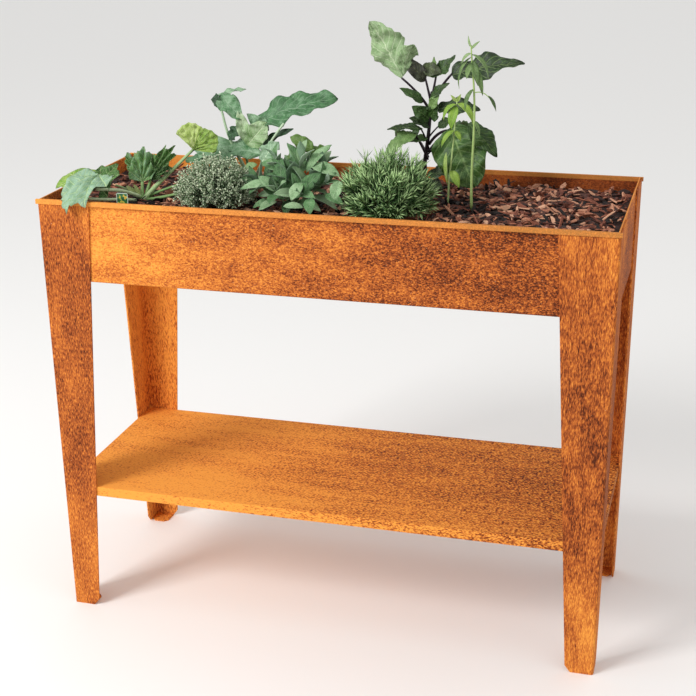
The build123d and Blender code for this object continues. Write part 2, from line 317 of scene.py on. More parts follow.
def both_skins(name, pattern, upper, under):
    """A leaf's upper and under skin. Each has its dark, middle and pale shade, the colour of its
    veins, how strongly they show, and its roughness."""
    return leaf_skin(name + "_upper", pattern, *upper), leaf_skin(name + "_under", pattern, *under)


def plain_skin(name, dark, middle, pale, roughness=0.55):
    """The skin of stalks and of leaves too small to show veins: a shade by its tone, a little mottled."""
    material, tree, shader, place = start_finish(name, roughness=roughness, specular=0.3)
    tone = add(tree, "ShaderNodeAttribute", attribute_name="tone").outputs["Fac"]
    mottle = grains(tree, place, (3, 3, 3), detail=2.0, swing=0.2)
    level = add(tree, "ShaderNodeMath", {0: tone, 1: mottle}, operation="ADD")
    shade = add(tree, "ShaderNodeValToRGB", {"Fac": level}, stops=(
        (0.0, dark), (0.5, middle), (1.0, pale)))
    connect(tree, shader, {"Base Color": shade})
    return material


def label_print():
    """A moulded plastic plant label: a pale border round a printed picture of leaves and fruit."""
    low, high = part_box("plant_label")
    material, tree, shader, place = start_finish("printed_label_plastic", roughness=0.35)
    centre = (low + high) / 2
    x, _, z = add(tree, "ShaderNodeSeparateXYZ", {0: place}).outputs
    border = 1.0 * MM
    inside_x = add(tree, "ShaderNodeMath", {
        0: x, 1: centre.x, 2: (high.x - low.x) / 2 - border}, operation="COMPARE")
    inside_z = add(tree, "ShaderNodeMath", {
        0: z, 1: centre.z, 2: (high.z - low.z) / 2 - border}, operation="COMPARE")
    inside = add(tree, "ShaderNodeMath", {0: inside_x, 1: inside_z}, operation="MULTIPLY")
    print_spots = grains(tree, place, (6, 6, 6), detail=1.0)
    picture = add(tree, "ShaderNodeValToRGB", {"Fac": print_spots}, stops=(
        (0.35, "#153A1F"), (0.56, "#256A35"), (0.64, "#C9B444"), (0.70, "#B8402B")))
    skin = add(tree, "ShaderNodeMix", {"Factor": inside, "A": colour("#AEBFB2"), "B": picture},
               data_type="RGBA").outputs["Result"]
    connect(tree, shader, {"Base Color": skin})
    return material


# Rust ages: the panel is new and orange at its left end and old at its right; the legs are oldest
# about halfway up; the shelf is newest along its front edge and at its left.
# The panel from 7 mm below its rim, and the end plates' top 1.5 mm, get the painted rim highlight.
panel_steel = weathering_steel(
    "weathering_steel_panel", grain=(2.9, 2.0, 1.9), patch=(90, 60, 38),
    ages=[("X", cad_low.x, cad_high.x,
           ((0.1, 0.19), (0.2, 0.26), (0.28, 0.39), (0.4, 0.5), (0.65, 0.6), (0.85, 0.76)))],
    rim_highlight_from=RIM_TOP - 7 * MM, sheltered_from=REAR_WALL)
end_steel = weathering_steel(
    "weathering_steel_end_plates", grain=(2.0, 2.4, 2.4), patch=(60, 70, 60),
    ages=[("Z", TROUGH_FOOT, RIM_TOP, ((0.0, 0.62), (1.0, 0.5)))], rim_highlight_from=RIM_TOP - 1.5 * MM)
shelf_steel = weathering_steel(
    "weathering_steel_shelf", grain=(4.6, 2.8, 2.0), patch=(150, 34, 34),
    ages=[("X", SHELF_LOW.x, SHELF_HIGH.x, ((0.04, 0.0), (0.25, 0.0), (0.5, 0.3), (1.0, 0.56))),
          ("Y", SHELF_LOW.y, SHELF_HIGH.y,
           ((0.0, 0.0), (0.2, 0.06), (0.34, 0.17), (0.6, 0.19), (1.0, 0.14)))],
    newness=0.14, flecks=0.8, contrast=2.1, seed=3.0)
# For each leg, the contrast of its specks and the age of its rust from the foot to the rim. The rear left
# leg's newer, brighter rust towards the rim is partly painted light.
LEG_RUST_AND_LIGHT = {
    "leg_front_left": (1.0, (
        (0.0, 0.4), (0.2, 0.43), (0.4, 0.6), (0.85, 0.64), (0.95, 0.5), (1.0, 0.44))),
    "leg_front_right": (0.9, (
        (0.0, 0.32), (0.2, 0.38), (0.3, 0.63), (0.6, 0.64), (0.84, 0.6), (1.0, 0.42))),
    # Painted light: the rear left leg gets newer, brighter rust, most towards the rim, for the light on its
    # rear flange, where the trough shades it.
    "leg_rear_left": (1.8, ((0.0, 0.3), (0.5, 0.16), (0.8, 0.0), (1.0, 0.0))),
    "leg_rear_right": (1.0, ((0.0, 0.38), (0.4, 0.46), (1.0, 0.5))),
}
leg_steels = {
    name: weathering_steel(
        "weathering_steel_" + name, grain=(1.5, 1.5, 6.5), patch=(34, 34, 85),
        ages=[("Z", 0.0, RIM_TOP, stops)], flecks=0.6, contrast=contrast, seed=11.0 + 5 * place)
    for place, (name, (contrast, stops)) in enumerate(LEG_RUST_AND_LIGHT.items())
}

bright_zinc = zinc_plate()
compost_crumbs = potting_compost()
bark_skin = bark()

CAD_FINISHES = {
    "trough_body": panel_steel,
    "trough_end_left": end_steel,
    "trough_end_right": end_steel,
    "shelf_tray": shelf_steel,
    "compost": compost_crumbs,
    "plant_label": label_print(),
    **leg_steels,
    **{part: bright_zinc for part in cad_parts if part.endswith(("studs", "washers", "nuts"))},
}
for part, finish in CAD_FINISHES.items():
    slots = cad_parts[part].data.materials
    slots.clear()
    slots.append(finish)


# ---------------------------------------------------------------- building pieces

def new_shape():
    """An empty mesh in the making, with a map for veins and a tone for each face."""
    shape = bmesh.new()
    shape.loops.layers.uv.new("UVMap")
    shape.faces.layers.float.new("tone")
    return shape


def as_template(shape, name):
    """Turns a finished small shape into a mesh that is stamped many times."""
    mesh = bpy.data.meshes.new(name)
    shape.to_mesh(mesh)
    shape.free()
    return mesh


def join(piece, mesh, tone):
    """Adds a mesh that is made for this once to a piece, all in one tone."""
    layer = mesh.attributes.get("tone") or mesh.attributes.new("tone", "FLOAT", "FACE")
    layer.data.foreach_set("value", [tone] * len(mesh.polygons))
    piece.from_mesh(mesh)
    bpy.data.meshes.remove(mesh)


def stamp(piece, template, matrix, tone):
    """Adds a copy of a template to a piece at a place, in one tone."""
    copy = template.copy()
    copy.transform(matrix)
    join(piece, copy, tone)


def finish_piece(name, piece, finishes, node, smooth=True):
    """Makes the object, which rides on the frame and stands for its CAD node."""
    bmesh.ops.remove_doubles(piece, verts=piece.verts, dist=0.002 * MM)
    bmesh.ops.dissolve_degenerate(piece, edges=piece.edges, dist=0.001 * MM)
    mesh = bpy.data.meshes.new(name)
    piece.to_mesh(mesh)
    piece.free()
    mesh.polygons.foreach_set("use_smooth", [smooth] * len(mesh.polygons))
    for finish in finishes:
        mesh.materials.append(finish)
    thing = bpy.data.objects.new(name, mesh)
    bpy.context.scene.collection.objects.link(thing)
    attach(thing, BODY)
    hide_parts(node)
    return thing


def pointing(place, direction, length, width, thickness, roll=0.0):
    """The matrix that lays a unit shape from a place along a direction."""
    turn = direction.to_track_quat("X", "Z").to_matrix().to_4x4()
    size = Matrix.Diagonal((length, width, thickness, 1.0))
    return Matrix.Translation(place) @ turn @ Matrix.Rotation(roll, 4, "X") @ size


# ---------------------------------------------------------------- bark mulch

def bark_chip(rng, name):
    """A flat splinter of bark with an uneven outline and chamfered top, about a unit long."""
    chip = new_shape()
    bmesh.ops.create_circle(chip, cap_ends=True, segments=7, radius=0.5)
    for corner in chip.verts:
        corner.co.x *= rng.uniform(0.8, 1.1)
        corner.co.y *= rng.uniform(0.55, 1.2)
    lid = bmesh.ops.extrude_face_region(chip, geom=chip.faces[:])["geom"]
    top = [corner for corner in lid if isinstance(corner, bmesh.types.BMVert)]
    bmesh.ops.translate(chip, verts=top, vec=(0, 0, 0.5))
    bmesh.ops.scale(chip, verts=top, vec=(0.82, 0.72, 1.0))
    for corner in top:
        corner.co.z += rng.uniform(-0.15, 0.15)
    bmesh.ops.translate(chip, verts=chip.verts, vec=(0, 0, -0.25))
    bmesh.ops.recalc_face_normals(chip, faces=chip.faces)
    return as_template(chip, name)


# Painted shade under the plants: chips within this distance of a crown are drawn darker, by at most this
# share of their tone.
SHADE_REACH = 58 * MM
SHADE_DARKENING = 0.34
# Two layers of loose chips: how many, the height of their middles, the least and most length, width
# and thickness of a chip in millimetres, how far they tilt in degrees, and how weathered they are.
LOOSE_BARK = (
    (1500, SOIL - 7 * MM, (16, 42), (8, 17), (3.0, 5.0), 14, 0.28),
    (2100, SOIL - 2 * MM, (10, 40), (4, 13), (2.5, 5.0), 34, 0.56),
)
CHIP_SHAPES = 9
# The share of its length and width that a chip reaches from its middle, with its uneven outline.
CHIP_REACH = 0.56


def shade_under_plants(place):
    """How much painted shade darkens the bark, from 0 to 1: most at each plant's foot, under its leaves."""
    distances = [(place.xy - Vector(crown) * MM).length for crown in CROWNS.values()]
    return max(0.0, 1 - min(distances) / SHADE_REACH)


def packed_bark(rng):
    """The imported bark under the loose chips: a low closed slab with a lumpy top."""
    lump_side, lump_height = 12 * MM, 2.5 * MM
    bottom = MULCH_LOW.z + 1 * MM
    top = SOIL - 9 * MM
    length = MULCH_HIGH.x - MULCH_LOW.x
    depth = MULCH_HIGH.y - MULCH_LOW.y
    slab = new_shape()
    bmesh.ops.create_grid(
        slab, x_segments=round(length / lump_side), y_segments=round(depth / lump_side), size=0.5)
    bmesh.ops.scale(slab, verts=slab.verts, vec=(length, depth, 1))
    skirt = bmesh.ops.extrude_face_region(slab, geom=slab.faces[:])["geom"]
    bmesh.ops.translate(slab, verts=slab.verts, vec=(0, 0, bottom))
    for point in skirt:
        if isinstance(point, bmesh.types.BMVert):
            point.co.z = top + rng.uniform(-1, 1) * lump_height
    bmesh.ops.recalc_face_normals(slab, faces=slab.faces)
    return as_template(slab, "packed_bark")


def mulch():
    """The bed of bark, packed below and loose on top."""
    rng = random.Random(7)
    chips = [bark_chip(rng, f"chip_{number}") for number in range(CHIP_SHAPES)]
    bed = new_shape()
    join(bed, packed_bark(rng), 0.16)
    for count, height, lengths, widths, thicks, tilt, tone in LOOSE_BARK:
        for _ in range(count):
            long_side = rng.uniform(*lengths) * MM
            wide_side = rng.uniform(*widths) * MM
            heading = rng.uniform(0, math.tau)
            # How far the chip reaches from its middle, so that none goes through the steel.
            ahead, beside = abs(math.cos(heading)), abs(math.sin(heading))
            reach_x = CHIP_REACH * (long_side * ahead + wide_side * beside)
            reach_y = CHIP_REACH * (long_side * beside + wide_side * ahead)
            place = Vector((
                rng.uniform(MULCH_LOW.x + reach_x, MULCH_HIGH.x - reach_x),
                rng.uniform(MULCH_LOW.y + reach_y, MULCH_HIGH.y - reach_y),
                height + rng.uniform(-3, 3) * MM))
            turn = Euler((
                math.radians(rng.gauss(0, tilt)), math.radians(rng.gauss(0, tilt * 0.6)),
                heading)).to_matrix().to_4x4()
            size = Matrix.Diagonal((long_side, wide_side, rng.uniform(*thicks) * MM, 1))
            # The chip's tone: its weathering, less the painted shade near the plants.
            weathered_and_shaded = rng.gauss(tone, 0.3) - SHADE_DARKENING * shade_under_plants(place)
            stamp(bed, rng.choice(chips), Matrix.Translation(place) @ turn @ size,
                  min(1.0, max(0.0, weathered_and_shaded)))
    return finish_piece("bark_mulch_chips", bed, [bark_skin], "bark_mulch", smooth=False)


mulch()


# ---------------------------------------------------------------- leaves and stalks

def leaf_blank(rows, columns, name):
    """A flat closed leaf: x from 0 at the stalk to 1 at the tip, y from -1 to 1 across, and z 0 on
    its upper skin and -1 on its under skin. The under skin has the second finish."""
    blank = new_shape()
    bmesh.ops.create_grid(blank, x_segments=rows, y_segments=columns, size=1, calc_uvs=True)
    bmesh.ops.translate(blank, verts=blank.verts, vec=(1, 0, 0))
    bmesh.ops.scale(blank, verts=blank.verts, vec=(0.5, 1, 1))
    bmesh.ops.solidify(blank, geom=blank.faces[:], thickness=1)
    bmesh.ops.recalc_face_normals(blank, faces=blank.faces)
    highest = max(point.co.z for point in blank.verts)
    bmesh.ops.translate(blank, verts=blank.verts, vec=(0, 0, -highest))
    for face in blank.faces:
        face.normal_update()
        face.material_index = 0 if face.normal.z > 0.5 else 1
    return as_template(blank, name)


# Long leaves have rows enough for sunken side veins, and fans have columns enough for teeth.
LONG_BLANK = leaf_blank(40, 10, "long_leaf_blank")
FAN_BLANK = leaf_blank(12, 40, "fan_leaf_blank")
SMALL_BLANK = leaf_blank(8, 4, "small_leaf_blank")


def lay_leaf(piece, crown, base, tip, facing, half_width, tone, finish=0, blank=LONG_BLANK,
             belly=0.45, blunt=0.8, curl=0.7, fold=0.25, ruffle=0.0, waves=3.0, teeth=0.0,
             quilt=0.0, spread=0.0, lobes=0.2, pleat=0.0, crinkle=0.12, thickness=0.5):
    """Lays a leaf from its base to its tip, in millimetres from the crown, its upper skin towards
    facing. belly is where a long leaf is widest and blunt how full its ends are; curl bends it down
    along its length and fold lifts its margins, both in radians; ruffle waves its margins up and
    down and teeth in and out; crinkle puckers the blade and quilt sinks its side veins. With a
    spread, in radians to each side, the leaf is a fan from its stalk with five lobes, cut in by
    lobes and pleated by pleat. finish is the place of its upper skin in the plant's list, and the
    under skin is the next."""
    base = crown + Vector(base) * MM
    chord = crown + Vector(tip) * MM - base
    ahead = chord.normalized()
    facing = Vector(facing)
    up = (facing - facing.dot(ahead) * ahead).normalized()
    side = up.cross(ahead)
    bend = curl if abs(curl) > 0.01 else 0.01
    end_x, end_z = math.sin(bend) / bend, (math.cos(bend) - 1) / bend
    tilt = math.atan2(end_z, end_x)
    reach = chord.length / math.hypot(end_x, end_z)
    half_width *= MM
    # This power of the way along is a half at the belly, where the sine below is highest.
    power = math.log(0.5) / math.log(belly)
    sheet = blank.copy()
    for point in sheet.vertices:
        along, across, skin = point.co
        # Puckers, different on each leaf, a seventh of its length and a third of its width.
        pucker = noise.noise(Vector((7 * along, 3.5 * across, tip[0] + 3 * tip[2])))
        # The outline of the blade, and how far each place is lifted off its middle line.
        if spread:
            angle = across * spread
            lobe = abs(math.sin(2.5 * math.pi * across))
            radius = along * (1 - lobes * lobe - 0.18 * abs(across) ** 1.5)
            radius *= 1 + teeth * along ** 4 * math.sin(37 * across)
            forward = radius * math.cos(angle)
            sideways = radius * math.sin(angle) * half_width
            lift = reach * along * (pleat * (lobe - 0.5) + fold * 0.4 * along * abs(across))
            lift += ruffle * half_width * along ** 3 * math.sin(waves * 2 * angle + 1.3)
        else:
            width = math.sin(math.pi * min(max(along, 0.0), 1.0) ** power) if along < 1 else 0.0
            width = max(width, 0.0) ** blunt * (1 + teeth * math.sin(waves * 4.3 * along + 2 * across))
            forward = along
            sideways = across * width * half_width
            lift = fold * abs(sideways)
            margin_wave = math.sin(waves * math.tau * along + 1.7 * across)
            lift += ruffle * abs(sideways) * abs(across) * margin_wave
            between_veins = math.cos(math.tau * (VEIN_PAIRS * along - VEIN_SLANT * abs(across)))
            lift -= quilt * half_width * width * between_veins
        lift += crinkle * half_width * pucker
        lift += skin * thickness * MM
        # The blade is bent along an arc, and the arc is turned so that its ends are level.
        turn = bend * forward
        out_x = reach * math.sin(turn) / bend
        out_z = reach * (math.cos(turn) - 1) / bend
        out_x += lift * math.sin(turn)
        out_z += lift * math.cos(turn)
        level_x = out_x * math.cos(tilt) + out_z * math.sin(tilt)
        level_z = out_z * math.cos(tilt) - out_x * math.sin(tilt)
        point.co = base + ahead * level_x + side * sideways + up * level_z
    for face in sheet.polygons:
        face.material_index += finish
    join(piece, sheet, tone)


def lay_stalk(piece, crown, points, start, end, tone, finish):
    """A round stalk that tapers along a smooth line through a plant, its radii in millimetres."""
    line = bpy.data.curves.new("stalk", "CURVE")
    line.dimensions = "3D"
    line.bevel_depth = 1.0
    line.bevel_resolution = 1
    line.use_fill_caps = True
    spline = line.splines.new("NURBS")
    spline.points.add(len(points) - 1)
    for number, (point, offset) in enumerate(zip(spline.points, points)):
        share = number / (len(points) - 1)
        point.co = (*(crown + Vector(offset) * MM), 1.0)
        point.radius = (start + (end - start) * share) * MM
    spline.order_u = 3
    spline.use_endpoint_u = True
    spline.resolution_u = 5
    holder = bpy.data.objects.new("stalk", line)
    mesh = bpy.data.meshes.new_from_object(holder)
    bpy.data.objects.remove(holder)
    bpy.data.curves.remove(line)
    mesh.polygons.foreach_set("material_index", [finish] * len(mesh.polygons))
    join(piece, mesh, tone)


def crown_of(plant):
    """The place of a plant's crown, a little below the top of the mulch."""
    x, y = CROWNS[plant]
    return Vector((x * MM, y * MM, SOIL - 4 * MM))


def squash_skins():
    """Squash leaves are rough and dull: the grown ones a deep to blue green with a bloom, the young
    ones a yellow green, into which the light that comes through them is painted."""
    return [
        *both_skins("squash_leaf", "fanned",
                    ("#1F3F18", "#4F7A36", "#8DAC92", "#BBD294", 0.7, 0.55),
                    ("#5E8A52", "#8DB07E", "#B4CDB0", "#CFE0BE", 0.6, 0.65)),
        *both_skins("young_squash_leaf", "fanned",
                    ("#5F8A2A", "#9BB64E", "#C0CC8A", "#D6E0A6", 0.6, 0.5),
                    ("#7F9E58", "#9CB37C", "#B6C69E", "#CAD6B0", 0.6, 0.6)),
        plain_skin("squash_stalk", "#4E7A38", "#8DAE6E", "#C8DAB0"),
    ]


# The places of a plant's second pair of leaf skins and of its stalk in its list of finishes, and
# the same two for a plant whose list has the stem first.
YOUNG_AND_BACKLIT, STALK = 2, 4
STEM, BUDDING = 2, 3
GROWN_FAN = {
    "blank": FAN_BLANK, "spread": 2.2, "lobes": 0.2, "pleat": 0.10, "teeth": 0.04, "crinkle": 0.2}
FAN_SECTOR = {"blank": FAN_BLANK, "spread": 0.58, "lobes": 0.03, "pleat": 0.03, "finish": YOUNG_AND_BACKLIT}


def left_squash():
    """The young squash at the left, with one leaf hanging over the front rim."""
    crown = crown_of("squash_left")
    plant = new_shape()
    for points, start, end, tone in (
        (((8, 0, 8), (-6, -28, 24), (-20, -56, 32), (-40, -76, 36)), 3.6, 2.8, 1.0),
        (((6, -4, 2), (-8, -40, 12), (-26, -76, 18), (-48, -96, 24)), 3.2, 2.6, 1.0),
        (((8, 6, 4), (-14, 6, 18), (-32, -14, 30)), 2.0, 1.6, 0.6),
        (((8, 2, 0), (9, 8, 14), (8, 12, 32)), 4.2, 3.0, 0.5),
        (((12, 4, 0), (18, 14, 18), (22, 22, 42)), 3.2, 2.4, 0.4),
        (((12, -2, 0), (28, 6, 20), (56, 40, 50), (84, 74, 81)), 5.0, 2.6, 0.65),
        (((12, 0, 2), (46, 4, 6), (92, 16, 18)), 3.2, 2.4, 0.35),
        (((12, 2, 4), (40, 14, 18), (84, 34, 30)), 2.6, 2.0, 0.3),
    ):
        lay_stalk(plant, crown, points, start, end, tone, STALK)
    # The big leaf that hangs over the front rim, and the two beside it.
    lay_leaf(plant, crown, (-40, -62, 58), (-74, -132, 3), (-0.3, -0.8, 0.5), 51, 0.9, curl=1.3,
             ruffle=0.06, waves=2, fold=-0.05,
             **{**GROWN_FAN, "spread": 1.65, "lobes": 0.12, "crinkle": 0.08})
    lay_leaf(plant, crown, (-42, -58, 36), (-28, -4, 66), (0.1, -0.85, 0.55), 27, 0.36, curl=0.8,
             ruffle=0.1, **GROWN_FAN)
    lay_leaf(plant, crown, (-54, -54, 46), (-116, -82, 36), (-0.5, -0.5, 0.7), 36, 0.2, finish=YOUNG_AND_BACKLIT,
             blank=FAN_BLANK, spread=1.9, lobes=0.1, pleat=0.05, curl=0.9)
    # Pleated leaves that stand up from the crown, one darker behind.
    lay_leaf(plant, crown, (8, 12, 32), (2, 42, 92), (0.15, -0.95, 0.25), 32, 0.62, curl=0.3,
             blank=FAN_BLANK, spread=1.5, lobes=0.18, pleat=0.2, teeth=0.04)
    lay_leaf(plant, crown, (6, 12, 40), (-36, 48, 78), (-0.4, -0.8, 0.4), 15, 0.42, curl=0.5,
             blank=FAN_BLANK, spread=1.0, lobes=0.2, pleat=0.15, teeth=0.04)
    lay_leaf(plant, crown, (22, 22, 42), (56, 62, 92), (0.25, -0.9, 0.35), 28, 0.3, curl=0.4,
             blank=FAN_BLANK, spread=1.3, lobes=0.24, pleat=0.15, teeth=0.04)
    lay_leaf(plant, crown, (20, 16, 36), (60, 36, 56), (0.3, -0.75, 0.6), 17, 0.12, curl=0.5,
             blank=FAN_BLANK, spread=1.3, lobes=0.3, pleat=0.12)
    # The young leaf at the end of its thick stalk, folded in two halves.
    lay_leaf(plant, crown, (84, 74, 80), (74, 82, 128), (0.15, -0.95, 0.2), 58, 0.7, curl=-0.2,
             **FAN_SECTOR)
    lay_leaf(plant, crown, (84, 72, 80), (132, 74, 108), (0.35, -0.9, 0.3), 56, 0.25, curl=0.4,
             **FAN_SECTOR)
    for base, tip, half_width in (
        ((6, 0, 4), (-20, 2, 26), 5), ((4, 2, 6), (-26, 4, 16), 4), ((8, 2, 8), (-4, 0, 30), 4),
    ):
        lay_leaf(plant, crown, base, tip, (0, -0.6, 0.8), half_width, 0.9, finish=YOUNG_AND_BACKLIT, blank=SMALL_BLANK,
                 fold=0.5)
    return finish_piece("squash_plant_left", plant, squash_skins(), "squash_left")


def centre_squash():
    """The tall plant behind the herbs, with long wavy leaves."""
    crown = crown_of("squash_centre")
    plant = new_shape()
    for points, start, end, tone in (
        (((0, 0, 0), (-22, -12, 46), (-38, -22, 90), (-48, -22, 132), (-54, -20, 160)), 3.6, 2.0, 0.85),
        (((10, -4, 0), (22, -18, 40), (42, -36, 80), (76, -40, 122)), 3.6, 2.2, 0.95),
        (((-4, -8, 0), (-20, -24, 36), (-30, -40, 60)), 3.4, 2.6, 0.7),
        (((18, -28, 0), (26, -62, 28), (44, -74, 58), (60, -66, 80)), 2.6, 1.8, 0.9),
        (((2, -8, 0), (-8, -20, 42), (0, -32, 84)), 3.0, 2.0, 0.5),
        (((6, 4, 0), (30, 20, 26), (62, 26, 44)), 3.0, 2.0, 0.4),
        (((-6, 6, 0), (-26, 30, 26), (-48, 40, 50)), 3.0, 2.0, 0.4),
    ):
        lay_stalk(plant, crown, points, start, end, tone, STALK)
    wavy = {"ruffle": 0.3, "waves": 2.5, "teeth": 0.1, "belly": 0.42, "blunt": 0.6, "crinkle": 0.25,
            "quilt": 0.06}
    for base, tip, facing, half_width, tone, changes in (
        # The flopped leaf at the top of the tall stalk: its blade, its flap and its dark fold.
        ((-52, -20, 164), (-6, -36, 126), (0.3, -0.85, 0.4), 18, 0.62, {"curl": 0.9}),
        ((-56, -18, 164), (-8, 0, 174), (0, -0.3, 0.95), 7, 0.9, {"curl": 0.4}),
        ((-60, -20, 166), (-44, -30, 142), (-0.4, -0.8, 0.3), 9, 0.1, {"curl": 1.2}),
        ((-38, -24, 92), (-4, -34, 106), (0, -0.9, 0.4), 12, 0.15, {"curl": 0.5}),
        # The long leaf that reaches to the right.
        ((16, -14, 114), (164, 10, 160), (-0.12, -0.72, 0.68), 28, 0.42,
         {"curl": 0.7, "ruffle": 0.3, "belly": 0.42, "blunt": 0.5, "waves": 3.3, "teeth": 0.12}),
        ((40, -18, 104), (0, -24, 134), (-0.3, -0.8, 0.5), 13, 0.75, {"curl": 0.5, "blunt": 0.9}),
        ((21, -22, 75), (92, -32, 112), (0, -0.75, 0.65), 8, 0.05, {"curl": 0.3}),
        # The pale leaf that stands in front on its own stalk, and one low at the left.
        ((44, -72, 58), (72, -58, 92), (-0.3, -0.85, 0.4), 17, 0.9, {"curl": 0.5}),
        ((-40, -42, 48), (-114, -52, 48), (0, -0.7, 0.7), 14, 0.4, {"curl": 0.8}),
        # Leaves at the back, which only show from the sides.
        ((62, 26, 44), (112, 44, 40), (0.2, 0.1, 0.95), 22, 0.4, {"curl": 1.0}),
        ((-48, 40, 50), (-96, 66, 40), (-0.2, 0.2, 0.95), 24, 0.45, {"curl": 1.0}),
    ):
        lay_leaf(plant, crown, base, tip, facing, half_width, tone, **{**wavy, **changes})
    flat_fan = {"blank": FAN_BLANK, "spread": 1.9, "lobes": 0.14, "pleat": 0.04, "ruffle": 0.12}
    lay_leaf(plant, crown, (-30, -40, 62), (-104, -36, 64), (0, -0.5, 0.9), 40, 0.72, curl=0.7, **flat_fan)
    lay_leaf(plant, crown, (-30, -40, 66), (36, -46, 62), (0.1, -0.5, 0.9), 36, 0.66, curl=0.9, **flat_fan)
    # Leaves with the light behind them: the light through them is painted into their paler, yellow green
    # skin.
    lay_leaf(plant, crown, (2, -32, 80), (-12, -36, 142), (0.4, -0.9, 0.1), 12, 0.9, finish=YOUNG_AND_BACKLIT, curl=0.4,
             belly=0.5, blunt=0.8, ruffle=0.2)
    lay_leaf(plant, crown, (2, -33, 78), (42, -34, 122), (0.2, -0.9, 0.2), 23, 0.7, finish=YOUNG_AND_BACKLIT, curl=0.4,
             belly=0.45, blunt=0.7, ruffle=0.3, teeth=0.08)
    lay_leaf(plant, crown, (10, -80, 42), (40, -88, 56), (0, -0.7, 0.7), 9, 0.4, finish=YOUNG_AND_BACKLIT, curl=0.4)
    return finish_piece("squash_plant_centre", plant, centre_skins(), "squash_centre")


def centre_skins():
    """The centre plant has the blue green, waxy leaves of a brassica, with pale midribs, and a yellow green
    skin painted on the leaves that the light shines through, as painted backlight.
    """
    return [
        *both_skins("waxy_leaf", "feathered",
                    ("#14351A", "#4B7A4C", "#9CBA98", "#A8C6A4", 0.4, 0.5),
                    ("#456F4C", "#7A9E7C", "#A9C2A8", "#BFD2B8", 0.55, 0.6)),
        *both_skins("painted_backlit_leaf", "feathered",
                    ("#3E6E30", "#7CA063", "#BACFA8", "#D2E0B8", 0.7, 0.5),
                    ("#6E9C50", "#96B878", "#BCD2A2", "#D6E4BE", 0.6, 0.6)),
        plain_skin("waxy_leaf_stalk", "#4F7E4A", "#8CB084", "#C4D8B8"),
    ]


left_squash()
centre_squash()


# ---------------------------------------------------------------- herbs

def lay_along_x(shape, name):
    """Makes a template of a small upright shape, laid down from x 0 to 1."""
    quarter_turn = Matrix.Rotation(math.pi / 2, 3, "Y")
    bmesh.ops.rotate(shape, verts=shape.verts, cent=(0, 0, 0), matrix=quarter_turn)
    bmesh.ops.translate(shape, verts=shape.verts, vec=(0.5, 0, 0))
    return as_template(shape, name)


def leaflet():
    """A slim closed leaflet with few faces, for plants with thousands of them."""
    leaf = new_shape()
    bmesh.ops.create_uvsphere(leaf, u_segments=4, v_segments=2, radius=0.5)
    return lay_along_x(leaf, "leaflet")


def twig():
    """A three sided, tapered twig, which has a herb's second finish."""
    stem = new_shape()
    bmesh.ops.create_cone(stem, cap_ends=True, segments=3, radius1=0.5, radius2=0.2, depth=1)
    for face in stem.faces:
        face.material_index = 1
    return lay_along_x(stem, "twig")


LEAFLET = leaflet()
TWIG = twig()


def herb_dome(piece, crown, rng, spread, height, sprigs, whorls, leaf_size, leaf_angle, first, tones,
              twig_width, disorder):
    """Sprigs that rise from a small crown and end on a dome, with whorls of leaflets along them.
    leaf_size is a leaflet's length and width and leaf_angle how far it opens from its sprig; first
    is the share of a sprig that is bare; tones run from a sprig's foot to its end; and disorder is
    how much the sprigs and leaflets differ in length and direction."""
    golden = math.pi * (3 - math.sqrt(5))
    for number in range(sprigs):
        # The sprigs' ends are spread evenly over the dome, down to almost level with its foot, and
        # each sprig rises a little before it leans out.
        rise = (number + 0.5) / sprigs
        lean = math.acos(1 - rise * 0.97)
        heading = number * golden + rng.uniform(-0.2, 0.2)
        ragged = rng.uniform(1 - 0.3 * disorder, 1 + 0.14 * disorder)
        from_middle = Vector((math.cos(heading), math.sin(heading), 0))
        foot = crown + from_middle * spread * 0.35 * math.sin(lean)
        end = crown + Vector((
            spread * math.sin(lean) * math.cos(heading) * ragged,
            spread * math.sin(lean) * math.sin(heading) * ragged,
            height * (0.1 + 0.9 * math.cos(lean) ** 0.9) * ragged))
        middle = (foot + end) / 2 + Vector((0, 0, height * 0.08))
        middle += Vector((rng.uniform(-1, 1), rng.uniform(-1, 1), 0)) * 12 * MM * disorder
        for start, stop in ((foot, middle), (middle, end)):
            run = stop - start
            stamp(piece, TWIG, pointing(start, run, run.length, twig_width, twig_width), 0.4)
        for whorl in range(whorls):
            share = first + (1 - first) * (whorl + 0.5) / whorls
            place = foot.lerp(middle, share * 2) if share < 0.5 else middle.lerp(end, share * 2 - 1)
            along = ((middle - foot) if share < 0.5 else (end - middle)).normalized()
            across = along.orthogonal().normalized()
            around = along.cross(across)
            for pair in range(2):
                turn = whorl * 2.4 + pair * math.pi + rng.uniform(-0.4, 0.4) + number
                outward = across * math.cos(turn) + around * math.sin(turn)
                # Leaflets open less towards the end of a sprig.
                angle = leaf_angle * rng.uniform(1 - 0.7 * disorder, 1 + 0.8 * disorder)
                angle *= 1.1 - 0.5 * share
                direction = along * math.cos(angle) + outward * math.sin(angle)
                long_side = leaf_size[0] * rng.uniform(0.75, 1.15)
                matrix = pointing(place, direction, long_side, leaf_size[1], leaf_size[1] * 0.3,
                                  rng.uniform(0, math.pi))
                tone = tones[0] + (tones[1] - tones[0]) * share + rng.gauss(0, 0.28)
                stamp(piece, LEAFLET, matrix, min(1.0, max(0.0, tone)))


